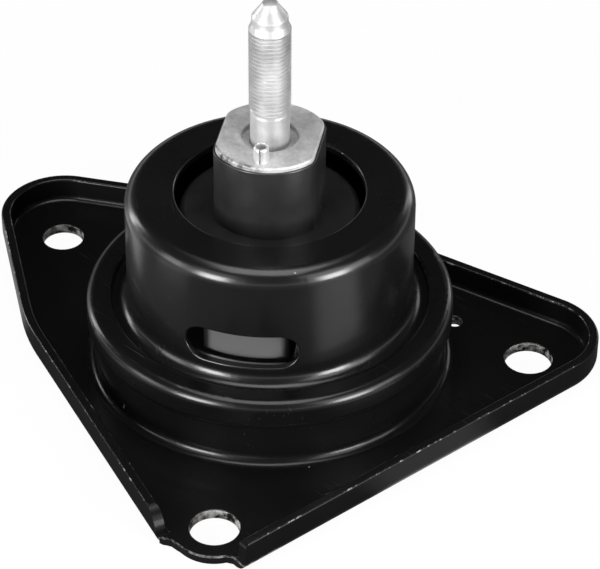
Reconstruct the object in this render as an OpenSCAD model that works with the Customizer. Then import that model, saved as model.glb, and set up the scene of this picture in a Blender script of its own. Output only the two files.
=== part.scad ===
// Engine mount: a pressed steel bracket carries a rubber mount that is filled with fluid.
// Millimetres, +Z up. The origin lies on the stud's axis, in the plane on which the bracket is seated.
// The stud points up (+Z). The locating pin, the window and the front bolt hole lie towards -Y.

/* [Base bracket] */
// Thickness of the pressed sheet
sheet_t = 3; // [2:0.1:4]
// Height of the upturned rim above the seat
rim_h = 10.5; // [7:0.1:16]
// Inside radius of the bend between floor and rim
bend_r = 1.5; // [1:0.1:4]
// Rounding of the rim's upper edge
rim_edge_r = 0.7; // [0.2:0.1:1.2]
// Outer radius of the two ears
ear_r = 19; // [15:0.5:24]
// Centre of the right ear's corner, beyond the collar's radius in X and from the axis in Y
right_ear_at = [25.5, 13]; // [-60:0.5:60]
// Centre of the left ear's corner, beyond the collar's radius in X and from the axis in Y
left_ear_at = [23.5, 46]; // [-60:0.5:60]
// Centre of the arc behind the collar
back_arc_c = [-6.6, 1.7]; // [-30:0.1:30]
// Distance from the collar's radius to the radius of the arc behind it
back_margin = 8.5; // [8:0.1:20]
// Centre of the gentle arc in the left side
side_arc_c = [-14.6, 23]; // [-40:0.1:40]
// Distance from the collar's radius to the radius of the gentle arc in the left side
side_margin = 14.5; // [10:0.5:30]
// Distance from the collar's wall to the point in front where the two side lines would meet
nose_reach = 56; // [50:0.5:80]
// Distance from that point to the end of the right rim
right_rim_gap = 18.3; // [10:0.1:40]
// Distance from that point to the end of the left rim
left_rim_gap = 25.7; // [10:0.1:40]
// Rounding of the right rim's end
right_end_r = 2.2; // [1:0.1:5]
// Rounding of the left rim's end
left_end_r = 6.5; // [1:0.1:7]
// Radius of the flat tab round the front bolt hole
tab_r = 11.6; // [10:0.1:15]

/* [Bolt holes] */
// Distance of the front bolt hole's axis from the collar's wall
front_hole_reach = 28.5; // [20:0.5:40]
// Place of the right bolt hole, beyond the collar's radius in X and from the axis in Y
right_hole_at = [24.5, 10]; // [-60:0.5:60]
// Place of the left bolt hole, beyond the collar's radius in X and from the axis in Y
left_hole_at = [22.5, 42]; // [-60:0.5:60]
// Radius of the front and the right bolt hole
bolt_hole_r = 7; // [5:0.05:9]
// Radius of the left bolt hole, which fits its bolt more closely
close_hole_r = 6.25; // [5:0.05:9]
// Direction of the small locating hole from the axis
locating_angle = 24.1; // [0:0.1:60]
// Distance of the small locating hole from the collar's wall
locating_gap = 5.5; // [5.4:0.1:12]
// Radius of the small locating hole
locating_hole_r = 2.3; // [1:0.1:2.3]
// Rounding of the holes' upper edge, left by the punch
punch_e = 0.5; // [0.2:0.1:1]

/* [Collar and rolled lip] */
// Outer radius of the collar's wall
collar_r = 51.5; // [45:0.1:60]
// Radius of the fillet between floor and collar
collar_foot_r = 3; // [2:0.1:6]
// Amount by which the top of the collar is wider than its wall
flare_step = 2.2; // [1:0.1:3]
// Height at which the collar is fully widened
flare_z = 18.7; // [16:0.1:22]
// Amount by which the pocket for the clamped flanges is smaller than the collar
pocket_inset = 0.5; // [0.2:0.1:1]
// Height of the ledge below the clamped flanges
ledge_z = 18.5; // [15:0.1:20]
// Reach of the rolled lip over the clamped flanges
lip_reach = 4.7; // [3:0.1:6]
// Thickness of the rolled lip
lip_t = 1.9; // [1.2:0.1:3]
// Outer rounding of the rolled lip
lip_round = 2.7; // [1.5:0.1:4]
// Rounding of the rolled lip's inner edge
lip_edge_r = 0.9; // [0.3:0.1:1]

/* [Upper cover] */
// Distance between the can and the rolled lip
cover_gap = 4.6; // [4:0.1:8]
// Height of the can's top above the seat
cover_top = 61.5; // [50:0.5:75]
// Sheet thickness of the can
cover_t = 2.3; // [1.5:0.1:3]
// Width of the ring that forms the can's top
cover_ring_w = 14.4; // [8:0.1:18]
// Rounding of the edge of the hole in the can's top
cover_hole_e = 0.8; // [0.3:0.1:1.1]
// Outer rounding of the can's upper edge
cover_round = 4.8; // [3:0.1:8]
// Rounding at the can's foot
cover_foot_r = 3.5; // [2:0.1:5]
// Width of the window in the can's wall
window_w = 32.5; // [20:0.5:40]
// Height of the window in the can's wall
window_h = 11; // [6:0.5:14]
// Height of the window's middle above the seat
window_z = 34.6; // [30:0.1:45]
// Distance by which the window sits to the left of the bracket's front hole
window_shift = 0.5; // [0:0.1:2]

/* [Core, stud and pin] */
// Height of the boss face above the seat
boss_top = 80; // [70:0.5:95]
// Radius of the boss
boss_r = 16.7; // [14:0.1:20]
// Half the distance between the boss's two flats
boss_flat = 14.1; // [11:0.1:18]
// Height at which the core's rebound flange begins
core_flange_z = 46; // [40:0.1:50]
// Thickness of the core's rebound flange
core_flange_t = 6.5; // [4:0.1:9]
// Chamfer of the core's rebound flange
core_flange_e = 1; // [0.5:0.1:2]
// Radius of the core's lower cone at its wide end
core_cone_r = 15.5; // [12:0.1:20]
// Radius of the core's lower end
core_low_r = 11; // [8:0.1:14]
// Height of the core's lower end
core_low = 29; // [25:0.1:34]
// Height of the core's two arms
arm_h = 13.5; // [8:0.1:14]
// Chamfer of the boss's face
boss_e = 0.6; // [0.3:0.1:1.5]
// Radius of the counterbore round the stud
counterbore_r = 8.1; // [7:0.1:10]
// Depth of that counterbore
counterbore_depth = 1.8; // [0.5:0.1:3]
// Major radius of the stud's thread
stud_r = 5.95; // [4:0.01:8]
// Radius of the plain shank below the thread
shank_r = 5.6; // [4:0.01:8]
// Radius of the pilot point
pilot_r = 5.1; // [3:0.01:7]
// Height of the stud's tip above the seat
stud_top = 123.7; // [100:0.1:140]
// Depth of the stud in the boss
stud_depth = 22; // [12:0.5:27]
// Length of the plain shank above the boss face
shank_h = 9; // [4:0.1:20]
// Length of the pilot point with its cone
point_h = 8.3; // [5:0.1:12]
// Distance of the locating pin from the axis
pin_y = 12.5; // [10:0.1:14]
// Radius of the locating pin
pin_r = 2.2; // [1.5:0.05:3]
// Length of the locating pin
pin_length = 14.5; // [8:0.5:20]
// Height of the pin above the boss face
pin_stand = 4.6; // [2:0.1:8]

/* [Rubber] */
// Thickness of the sleeve round the boss
sleeve_t = 0.6; // [0.3:0.1:2]
// Distance from the sleeve's upper edge to the boss face
sleeve_drop = 1.4; // [0.2:0.1:5]
// Gap between the pad and the edge of the can's hole
pad_gap = 1.3; // [0.5:0.1:4]
// Thickness of the pad over the core's rebound flange
pad_t = 3.5; // [2:0.1:5]
// Thickness of the rubber round and below the core's rebound flange
pad_side_t = 3; // [2:0.1:5]
// Rounding of the pad's edges
pad_e = 2; // [1:0.1:3]
// Half the width of the bumper lobes
lobe_half_w = 12.8; // [9:0.1:14]
// Gap between the bumper lobes and the spring ring
lobe_gap = 0.8; // [0.5:0.1:3]
// Thickness of the rubber on the core's arms
lobe_t = 3.4; // [2:0.1:5]
// Rounding of the bumper lobes' edges
lobe_e = 3; // [1:0.1:4]
// Rounding of the bumper lobes' upright corners
lobe_corner_r = 3.5; // [2:0.1:6]
// Height of the lobes' underside
lobe_low = 27.4; // [27:0.1:32]
// Height of the lobes' upper side
lobe_high = 49.5; // [45:0.1:52]

/* [Ring, plates and cup] */
// Sheet thickness of the spring ring and of the bottom cup
inner_sheet_t = 1.5; // [1:0.1:2]
// Gap round the clamped flanges
flange_gap = 0.2; // [0.1:0.05:0.5]
// Gap between the spring ring's wall and the can
ring_gap = 0.2; // [0.1:0.05:0.5]
// Height of the spring ring's upper edge
ring_top = 28; // [25:0.5:29]
// Gap between the collar and the cup's bend
cup_gap = 0.8; // [0.3:0.1:2]
// Gap between the cup and the two plates
plate_gap = 0.3; // [0.1:0.05:1]
// Thickness of the upper plate
upper_plate_t = 1.6; // [1:0.1:3]
// Height of the lower plate's underside
lower_plate_z = 11; // [9:0.1:13]
// Inner and outer radius of the ring channel as shares of the plate's radius
channel_share = [0.608, 0.856]; // [0.4:0.001:0.95]
// Depth of the ring channel
channel_depth = 5.2; // [3:0.1:6]
// Angle of the block that parts the channel's two ends
channel_block = 40; // [20:5:90]
// Radius of the two ports of the channel
port_r = 3.6; // [2:0.1:5]
// Radius of the pocket for the decoupler disc as a share of the plate's radius
pocket_share = 0.428; // [0.3:0.001:0.5]
// Depth of that pocket
pocket_disc_depth = 3; // [2:0.1:4]
// Radius of the grid's holes
grid_hole_r = 1.9; // [1:0.1:3]
// Play of the decoupler disc in its pocket
disc_play = 0.6; // [0.2:0.1:1.5]
// Radius of the rivets' shanks
rivet_r = 1.6; // [1:0.1:2]
// Wall thickness of the diaphragm
diaphragm_t = 1.6; // [1:0.1:2]
// Width of the diaphragm's rim
diaphragm_rim_w = 4.8; // [4:0.1:8]
// Distance from the rim to the diaphragm's fold
fold_gap = 3.1; // [2:0.1:6]
// Depth of the diaphragm's fold
fold_depth = 5; // [3:0.1:6]
// Width of the steel ring in the diaphragm's rim
rim_ring_w = 2; // [1:0.1:3]
// Rubber round that ring
rim_ring_cover = 1.4; // [0.5:0.1:2]
// Height of the cup's underside above the seat
cup_low = 0.5; // [0.2:0.1:2]
// Height of the step on which the diaphragm's rim lies
cup_step_z = 8; // [6:0.1:9]
// Radius of the vent in the cup
vent_r = 3.5; // [2:0.1:6]

/* [Hidden] */
$fn = 96;
bend_out_r = bend_r + sheet_t;
// The rim's straight lengths run this far into the bent ones. Next to the floor, the straight ones are
// drawn thinner by the step and the bent ones by half of it.
joint_reach = 0.5;
joint_step = 0.04;
nose = [0, -collar_r - nose_reach];
front_hole = [0, -collar_r - front_hole_reach];
right_hole = [collar_r + right_hole_at[0], right_hole_at[1]];
left_hole = [-collar_r - left_hole_at[0], left_hole_at[1]];
right_ear_circle = [collar_r + right_ear_at[0], right_ear_at[1], ear_r];
left_ear_circle = [-collar_r - left_ear_at[0], left_ear_at[1], ear_r];
back_circle = [back_arc_c[0], back_arc_c[1], collar_r + back_margin];
side_circle = [side_arc_c[0], side_arc_c[1], collar_r + side_margin];
nose_circle = [nose[0], nose[1], 0];
a_front = outward(nose_circle, right_ear_circle);
a_back = after(outward(right_ear_circle, back_circle), a_front);
a_top = after(outward(back_circle, left_ear_circle), a_back);
a_side = after(outward(left_ear_circle, side_circle), a_top);
a_left = after(outward(side_circle, nose_circle), a_side);
rim_start = nose + right_rim_gap * heading(a_front);
rim_end = nose - left_rim_gap * heading(a_left);
floor_inset = bend_out_r + 0.07;
collar_in_r = collar_r - sheet_t;
foot_out_r = collar_r + collar_foot_r;
locating_hole = (collar_r + locating_gap) * unit(locating_angle);
flare_r = collar_r + flare_step;
flare_rise = flare_step * sin(60);
pocket_r = collar_r - pocket_inset;
lip_in_r = pocket_r - lip_reach;
flange_r = pocket_r - flange_gap;
cup_flange_top = ledge_z + inner_sheet_t;
ring_flange_top = cup_flange_top + inner_sheet_t;
cover_flange_top = ring_flange_top + cover_t;
lip_top = cover_flange_top + lip_t;
cover_r = lip_in_r - cover_gap;
cover_in_r = cover_r - cover_t;
cover_hole_r = cover_r - cover_ring_w;
// The window's cut reaches this far in and out from the can's inner wall.
window_cut = 8;
ring_out_r = cover_in_r - ring_gap;
ring_in_r = ring_out_r - inner_sheet_t;
ring_bend_r = 5.5;
ring_bend_c = [ring_out_r + ring_bend_r, ring_flange_top + ring_bend_r];
plate_top = cup_flange_top;
lower_plate_top = plate_top - upper_plate_t;
cup_bend_r = 1.5;
cup_in_r = collar_in_r - cup_gap - cup_bend_r - inner_sheet_t;
plate_r = cup_in_r - plate_gap;
channel = plate_r * channel_share;
pocket_disc_r = plate_r * pocket_share;
rivet_ring_r = (pocket_disc_r + channel[0]) / 2;
disc_t = pocket_disc_depth - disc_play;
pad_r = cover_hole_r - pad_gap;
pad_low = core_flange_z - pad_side_t + 0.5;
pad_top = core_flange_z + core_flange_t + pad_t;
core_flange_r = pad_r - pad_side_t;
sleeve_top = boss_top - sleeve_drop;
stud_foot = boss_top - stud_depth;
lobe_reach = ring_in_r - lobe_gap;
arm_reach = lobe_reach - lobe_t;
arm_half_w = lobe_half_w - lobe_t;
arm_low = core_flange_z - arm_h;
lobe_side_angle = asin((lobe_half_w - lobe_corner_r) / (lobe_reach - lobe_corner_r));
channel_r = (channel[0] + channel[1]) / 2;
port_angle = channel_block / 2 + 8;
// Points of the flank between the left rim's end and the tab, ahead of that end and inside the rim's face,
// as shares of the tab's radius.
tab_flank = [[0, 0.112], [0.086, 0.16], [0.164, 0.25], [0.241, 0.323], [0.397, 0.379], [0.621, 0.474]];

// Angle of the outward normal of the line that touches circle a and then circle b, walking anticlockwise.
// A circle is [x, y, radius].
function outward(a, b) = atan2(b[1] - a[1], b[0] - a[0])
    - acos((a[2] - b[2]) / norm([b[0] - a[0], b[1] - a[1]]));

// The same angle, but above the one before it.
function after(a, before) = a < before ? a + 360 : a;

// Unit vector at an angle.
function unit(a) = [cos(a), sin(a)];

// Walking direction along the line whose outward normal has the angle a.
function heading(a) = [-sin(a), cos(a)];

// Length of the line that touches both circles.
function line_length(a, b) = sqrt(pow(b[0] - a[0], 2) + pow(b[1] - a[1], 2) - pow(a[2] - b[2], 2));

// Point of circle c at angle a, moved inwards.
function edge_point(c, a, inset) = [c[0], c[1]] + (c[2] - inset) * unit(a);

// Points on circle c between two angles, moved inwards.
function edge_arc(c, a0, a1, inset) = [for (i = [0.5:11.5]) edge_point(c, a0 + (a1 - a0) * i / 12, inset)];

// A quarter of a sheet's bend in cross-section. The quarter is 0 for +x +y and goes round anticlockwise.
module bend(c, r_in, t, quarter) {
    translate(c)
        rotate(quarter * 90)
            intersection() {
                difference() {
                    circle(r_in + t);
                    circle(r_in);
                }
                square(r_in + t + 1);
            }
}

// Rectangle between two corners.
module block(low, high) {
    translate(low)
        square([high[0] - low[0], high[1] - low[1]]);
}

// The rim in cross-section: x = 0 is its outer face, y is the height. It is drawn a little thinner.
module rim_section(less) {
    e = rim_edge_r;
    high = rim_h - less;
    bend([-bend_out_r, bend_out_r], bend_r + less, sheet_t - 2 * less, 3);
    block([-bend_out_r - 1.5, less], [-bend_out_r, sheet_t - less]);
    block([-sheet_t + less, bend_out_r], [-less, rim_h - e]);
    block([-sheet_t + e, rim_h - e], [-e, high]);
    translate([-e, rim_h - e])
        circle(e - less);
    translate([-sheet_t + e, rim_h - e])
        circle(e - less);
}

// A straight length of rim that ends on circle c with the outward normal a. Both ends reach into the bent
// lengths next to them.
module rim_run(c, a, length) {
    end = edge_point(c, a, 0);
    translate([end[0], end[1], 0])
        rotate([0, 0, a])
            translate([0, joint_reach, 0])
                rotate([90, 0, 0])
                    linear_extrude(length + 2 * joint_reach)
                        rim_section(joint_step);
}

// A bent length of rim round circle c.
module rim_corner(c, a0, a1) {
    translate([c[0], c[1], 0])
        rotate([0, 0, a0])
            rotate_extrude(angle = a1 - a0)
                translate([c[2], 0])
                    rim_section(joint_step / 2);
}

// Cuts the upper corner off a rim's end. side is 1 where the rim starts there and -1 where it ends.
module rim_end_cut(p, a, r, side) {
    translate([p[0], p[1], 0])
        rotate([0, 0, a])
            mirror([0, side > 0 ? 0 : 1, 0])
                translate([-sheet_t - 1, 0, 0])
                    rotate([90, 0, 90])
                        linear_extrude(sheet_t + 2)
                            difference() {
                                block([-1, rim_h - r], [r, rim_h + 1]);
                                translate([r, rim_h - r])
                                    circle(r);
                            }
}

// Outline of the bracket's floor, a little inside the bends, with the flat tab in front.
module floor_outline() {
    start = rim_start - floor_inset * unit(a_front);
    end = rim_end - floor_inset * unit(a_left);
    polygon(concat(
        [start],
        edge_arc(right_ear_circle, a_front, a_back, floor_inset),
        edge_arc(back_circle, a_back, a_top, floor_inset),
        edge_arc(left_ear_circle, a_top, a_side, floor_inset),
        edge_arc(side_circle, a_side, a_left, floor_inset),
        [end],
        [for (p = tab_r * tab_flank) rim_end + p[0] * heading(a_left) - p[1] * unit(a_left)],
        [front_hole + 0.85 * tab_r * unit(-80)]));
    translate(front_hole)
        circle(tab_r);
}

// What the punch takes out of the floor. Its upper edge is drawn in a little.
module punched_hole(place, r) {
    e = punch_e;
    translate([place[0], place[1], 0])
        rotate_extrude() {
            block([0, -1], [r, sheet_t + 1]);
            difference() {
                block([r - 0.2, sheet_t - e], [r + e, sheet_t + 1]);
                translate([r + e, sheet_t - e])
                    circle(e);
            }
        }
}

// Cross-section of the collar with its ledge and rolled lip.
module collar_section() {
    e = lip_edge_r;
    flare_low = flare_z - 2 * flare_rise;
    flare_mid = flare_z - flare_rise;
    neck_r = collar_r + flare_step / 2;
    bend([foot_out_r, collar_foot_r + sheet_t], collar_foot_r, sheet_t, 2);
    block([collar_in_r, collar_foot_r + sheet_t], [collar_r, ledge_z]);
    difference() {
        block([collar_in_r + 1, flare_low], [neck_r, flare_mid + 0.3]);
        translate([flare_r, flare_low])
            circle(flare_step);
    }
    intersection() {
        translate([collar_r, flare_z])
            circle(flare_step);
        block([pocket_r, flare_mid], [flare_r, flare_z + 0.3]);
    }
    block([pocket_r, ledge_z - 0.3], [collar_r, flare_z + 0.3]);
    block([pocket_r, flare_z], [flare_r, lip_top - lip_round]);
    intersection() {
        translate([flare_r - lip_round, lip_top - lip_round])
            circle(lip_round);
        block([pocket_r, lip_top - lip_round], [flare_r, lip_top]);
    }
    block([lip_in_r + e, cover_flange_top], [pocket_r, lip_top]);
    block([lip_in_r, cover_flange_top], [lip_in_r + e, lip_top - e]);
    translate([lip_in_r + e, lip_top - e])
        circle(e);
}

module base_bracket() {
    color("#2b2c2e")
        difference() {
            union() {
                difference() {
                    union() {
                        linear_extrude(sheet_t)
                            floor_outline();
                        rim_run(right_ear_circle, a_front,
                            line_length(nose_circle, right_ear_circle) - right_rim_gap);
                        rim_corner(right_ear_circle, a_front, a_back);
                        rim_run(back_circle, a_back, line_length(right_ear_circle, back_circle));
                        rim_corner(back_circle, a_back, a_top);
                        rim_run(left_ear_circle, a_top, line_length(back_circle, left_ear_circle));
                        rim_corner(left_ear_circle, a_top, a_side);
                        rim_run(side_circle, a_side, line_length(left_ear_circle, side_circle));
                        rim_corner(side_circle, a_side, a_left);
                        translate([-left_rim_gap * heading(a_left)[0], -left_rim_gap * heading(a_left)[1], 0])
                            rim_run(nose_circle, a_left,
                                line_length(side_circle, nose_circle) - left_rim_gap);
                    }
                    translate([0, 0, -1])
                        cylinder(h = rim_h + 2, r = foot_out_r);
                    rim_end_cut(rim_start - (joint_reach + 0.1) * heading(a_front), a_front, right_end_r, 1);
                    rim_end_cut(rim_end + (joint_reach + 0.1) * heading(a_left), a_left, left_end_r, -1);
                }
                rotate_extrude()
                    collar_section();
            }
            punched_hole(front_hole, bolt_hole_r);
            punched_hole(right_hole, bolt_hole_r);
            punched_hole(left_hole, close_hole_r);
            punched_hole(locating_hole, locating_hole_r);
        }
}

// Cross-section of the can.
module cover_section() {
    top_c = [cover_r - cover_round, cover_top - cover_round];
    foot_c = [cover_r + cover_foot_r, cover_flange_top + cover_foot_r];
    block([cover_hole_r + cover_hole_e, cover_top - cover_t], [top_c[0], cover_top]);
    block([cover_hole_r, cover_top - cover_t], [cover_hole_r + cover_hole_e, cover_top - cover_hole_e]);
    translate([cover_hole_r + cover_hole_e, cover_top - cover_hole_e])
        circle(cover_hole_e);
    bend(top_c, cover_round - cover_t, cover_t, 0);
    block([cover_in_r, foot_c[1]], [cover_r, top_c[1]]);
    bend(foot_c, cover_foot_r, cover_t, 2);
    block([foot_c[0], ring_flange_top], [flange_r, cover_flange_top]);
}

module upper_cover() {
    color("#26272a")
        difference() {
            rotate_extrude()
                cover_section();
            translate([-window_shift, -cover_in_r + window_cut, window_z])
                rotate([90, 0, 0])
                    linear_extrude(2 * window_cut)
                        window_outline();
        }
}

module window_outline() {
    half = (window_w - window_h) / 2;
    block([-half, -window_h / 2], [half, window_h / 2]);
    translate([half, 0])
        circle(window_h / 2);
    translate([-half, 0])
        circle(window_h / 2);
}

// Double-D of a given radius and half distance between its flats.
module double_d(r, flat) {
    intersection() {
        circle(r);
        square([2 * flat, 2 * r + 2], center = true);
    }
}

// The boss with its chamfered face.
module boss() {
    e = boss_e;
    low = core_flange_z + core_flange_t / 2;
    intersection() {
        rotate_extrude()
            polygon([[0, low], [boss_r, low], [boss_r, boss_top - e], [boss_r - e, boss_top], [0, boss_top]]);
        rotate([90, 0, 0])
            translate([0, 0, -boss_r - 1])
                linear_extrude(2 * boss_r + 2)
                    polygon([[-boss_flat, low], [boss_flat, low], [boss_flat, boss_top - e],
                        [boss_flat - e, boss_top], [e - boss_flat, boss_top], [-boss_flat, boss_top - e]]);
    }
}

// The core's flange, its cone and the body between its arms.
module core_turned() {
    e = core_flange_e;
    low = core_flange_z;
    high = core_flange_z + core_flange_t;
    rotate_extrude()
        polygon([[0, core_low], [core_low_r - 2 * e, core_low], [core_low_r, core_low + 2 * e],
            [core_cone_r, core_low + 8 * e], [core_cone_r, low], [core_flange_r - e, low],
            [core_flange_r, low + e], [core_flange_r, high - e], [core_flange_r - e, high], [0, high]]);
}

// The core's two arms.
module core_arms() {
    intersection() {
        translate([-arm_half_w, -arm_reach, arm_low])
            cube([2 * arm_half_w, 2 * arm_reach, arm_h]);
        translate([0, 0, arm_low])
            cylinder(h = arm_h, r = arm_reach);
    }
}

module core_solid() {
    boss();
    core_turned();
    core_arms();
}

module inner_core() {
    color("#b9bcc0")
        difference() {
            core_solid();
            translate([0, 0, stud_foot])
                cylinder(h = boss_top, r = stud_r);
            translate([0, 0, boss_top - counterbore_depth])
                cylinder(h = 10, r = counterbore_r);
            translate([0, -pin_y, boss_top + pin_stand - pin_length])
                cylinder(h = pin_length, r = pin_r);
        }
}

module mounting_stud() {
    thread_low = boss_top + shank_h;
    thread_high = stud_top - point_h;
    color("#c9ccd1")
        rotate_extrude()
            polygon([[0, stud_foot], [stud_r - 1, stud_foot], [stud_r, stud_foot + 1],
                [stud_r, boss_top - counterbore_depth], [shank_r, boss_top - counterbore_depth + 0.6],
                [shank_r, thread_low - 0.6], [stud_r, thread_low], [stud_r, thread_high],
                [pilot_r, thread_high + 1.9], [pilot_r, stud_top - 4.4], [2.35, stud_top - 1],
                [1.4, stud_top], [0, stud_top]]);
}

module locating_pin() {
    low = boss_top + pin_stand - pin_length;
    high = boss_top + pin_stand;
    wall = 0.75;
    e = 0.4;
    color("#b4b8bd")
        translate([0, -pin_y, 0])
            difference() {
                rotate_extrude()
                    polygon([[pin_r - wall, low], [pin_r - e, low], [pin_r, low + 1], [pin_r, high - 1],
                        [pin_r - e, high], [pin_r - wall, high]]);
                translate([-0.45, -pin_r - 1, low - 1])
                    cube([0.9, pin_r + 1, pin_length + 2]);
            }
}

// Outline of the two bumper lobes, rounded at their outer corners.
module lobe_outline() {
    q = lobe_reach - lobe_corner_r;
    x = lobe_half_w - lobe_corner_r;
    y = q * cos(lobe_side_angle);
    far = lobe_reach + lobe_gap;
    t = far * tan(lobe_side_angle);
    square([2 * lobe_half_w, 2 * y], center = true);
    intersection() {
        circle(lobe_reach);
        polygon([[0, 0], [-t, far], [t, far]]);
    }
    intersection() {
        circle(lobe_reach);
        polygon([[0, 0], [t, -far], [-t, -far]]);
    }
    translate([x, y])
        circle(lobe_corner_r);
    translate([-x, y])
        circle(lobe_corner_r);
    translate([x, -y])
        circle(lobe_corner_r);
    translate([-x, -y])
        circle(lobe_corner_r);
}

// Cross-section that rounds the lobes' upper and lower edges.
module lobe_section() {
    e = lobe_e;
    block([0, lobe_low], [lobe_reach - e, lobe_high]);
    block([lobe_reach - e, lobe_low + e], [lobe_reach, lobe_high - e]);
    translate([lobe_reach - e, lobe_low + e])
        circle(e);
    translate([lobe_reach - e, lobe_high - e])
        circle(e);
}

// Cross-section of the rubber that is round about the axis: pad, neck, spring cone and seal.
module spring_section() {
    e = pad_e;
    neck_r = core_cone_r + 2.3;
    low = core_low - 1.8;
    block([0, pad_low], [pad_r - e, pad_top]);
    block([pad_r - e, pad_low + e], [pad_r, pad_top - e]);
    translate([pad_r - e, pad_top - e])
        circle(e);
    translate([pad_r - e, pad_low + e])
        circle(e);
    block([0, core_low + 3], [neck_r, pad_low + 1]);
    polygon([[0, low], [core_low_r - 1, low], [ring_in_r - 3.7, plate_top], [ring_in_r, plate_top],
        [ring_in_r, ring_top - 0.4], [ring_in_r - 3.2, ring_top - 2.4], [ring_in_r - 9.7, ring_top + 0.6],
        [neck_r, core_low + 4.5], [0, core_low + 4.5]]);
    difference() {
        block([ring_in_r, plate_top], [ring_bend_c[0] - 2.7, ring_bend_c[1]]);
        translate(ring_bend_c)
            circle(ring_bend_r + inner_sheet_t);
    }
}

module main_spring() {
    color("#3a3b3d")
        difference() {
            union() {
                rotate_extrude()
                    spring_section();
                intersection() {
                    translate([0, 0, lobe_low])
                        linear_extrude(lobe_high - lobe_low)
                            lobe_outline();
                    rotate_extrude()
                        lobe_section();
                }
                translate([0, 0, pad_top - 2])
                    linear_extrude(sleeve_top - pad_top + 2)
                        double_d(boss_r + sleeve_t, boss_flat + sleeve_t);
            }
            core_solid();
        }
}

module spring_ring() {
    color("#8d9298")
        rotate_extrude() {
            block([ring_in_r, ring_bend_c[1]], [ring_out_r, ring_top]);
            bend(ring_bend_c, ring_bend_r, inner_sheet_t, 2);
            block([ring_bend_c[0], cup_flange_top], [flange_r, ring_flange_top]);
        }
}

// The grid's holes: one in the middle and two rings round it.
module grid_holes(low, height) {
    translate([0, 0, low])
        cylinder(h = height, r = grid_hole_r);
    for (i = [0:5])
        rotate([0, 0, i * 60])
            translate([pocket_disc_r / 3, 0, low])
                cylinder(h = height, r = grid_hole_r);
    for (i = [0:11])
        rotate([0, 0, i * 30 + 15])
            translate([pocket_disc_r * 2 / 3, 0, low])
                cylinder(h = height, r = grid_hole_r);
}

// The rivets' holes or shanks.
module rivet_shanks(low, height, r) {
    for (i = [0:2])
        rotate([0, 0, i * 120 + 30])
            translate([rivet_ring_r, 0, low])
                cylinder(h = height, r = r);
}

module upper_plate() {
    color("#a9adb2")
        difference() {
            translate([0, 0, lower_plate_top])
                cylinder(h = upper_plate_t, r = plate_r);
            grid_holes(lower_plate_top - 1, upper_plate_t + 2);
            rivet_shanks(lower_plate_top - 1, upper_plate_t + 2, rivet_r);
            rotate([0, 0, port_angle])
                translate([channel_r, 0, lower_plate_top - 1])
                    cylinder(h = upper_plate_t + 2, r = port_r);
        }
}

module lower_plate() {
    height = lower_plate_top - lower_plate_z;
    color("#9da1a6")
        difference() {
            translate([0, 0, lower_plate_z])
                cylinder(h = height, r = plate_r);
            rotate([0, 0, channel_block / 2])
                rotate_extrude(angle = 360 - channel_block)
                    block([channel[0], lower_plate_top - channel_depth], [channel[1], lower_plate_top + 1]);
            translate([0, 0, lower_plate_top - pocket_disc_depth])
                cylinder(h = pocket_disc_depth + 1, r = pocket_disc_r);
            translate([0, 0, lower_plate_z - 1])
                cylinder(h = 2.4, r = pocket_disc_r - 1);
            grid_holes(lower_plate_z - 1, height + 2);
            rivet_shanks(lower_plate_z - 1, height + 2, rivet_r);
            rotate([0, 0, -port_angle])
                translate([channel_r, 0, lower_plate_z - 1])
                    cylinder(h = height, r = port_r);
        }
}

module decoupler_disc() {
    low = lower_plate_top - pocket_disc_depth;
    color("#2c2d2f")
        rotate_extrude()
            polygon([[0, low], [pocket_disc_r - 1.1, low], [pocket_disc_r - 0.6, low + 0.5],
                [pocket_disc_r - 0.6, low + disc_t - 0.5], [pocket_disc_r - 1.1, low + disc_t],
                [0, low + disc_t]]);
}

module plate_rivets() {
    color("#c2c5c9") {
        rivet_shanks(lower_plate_z, plate_top - lower_plate_z, rivet_r);
        rivet_shanks(plate_top, 0.8, rivet_r + 1.2);
        rivet_shanks(lower_plate_z - 0.8, 0.8, rivet_r + 1);
    }
}

// Cross-section of the diaphragm: rim, rolled fold and flat middle.
module diaphragm_section() {
    t = diaphragm_t;
    rim_in_r = plate_r - diaphragm_rim_w;
    top = lower_plate_z - 0.6;
    fold_r = rim_in_r - fold_gap;
    low_r = fold_r - 3 * t;
    low_z = top - fold_depth;
    up_r = low_r - 3 * t;
    block([rim_in_r, cup_step_z], [plate_r - cup_bend_r, lower_plate_z]);
    block([plate_r - cup_bend_r, cup_step_z + cup_bend_r], [plate_r, lower_plate_z]);
    translate([plate_r - cup_bend_r, cup_step_z + cup_bend_r])
        circle(cup_bend_r);
    block([fold_r, top - t], [rim_in_r, top]);
    bend([fold_r, top - 2 * t], t, t, 1);
    block([low_r + t, low_z], [low_r + 2 * t, top - 2 * t]);
    bend([low_r, low_z], t, t, 3);
    bend([low_r, low_z], t, t, 2);
    block([low_r - 2 * t, low_z], [low_r - t, low_z + 0.8]);
    bend([up_r, low_z + 0.8], t, t, 0);
    block([0, low_z + 0.8 + t], [up_r, low_z + 0.8 + 2 * t]);
}

// Cross-section of the steel ring in the diaphragm's rim.
module rim_ring_section() {
    out_r = plate_r - rim_ring_cover;
    cover = 0.6 * rim_ring_cover;
    block([out_r - rim_ring_w, cup_step_z + cover], [out_r, lower_plate_z - cover]);
}

module diaphragm() {
    color("#333436")
        rotate_extrude()
            difference() {
                diaphragm_section();
                rim_ring_section();
            }
}

module diaphragm_ring() {
    color("#9a9ea3")
        rotate_extrude()
            rim_ring_section();
}

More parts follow.
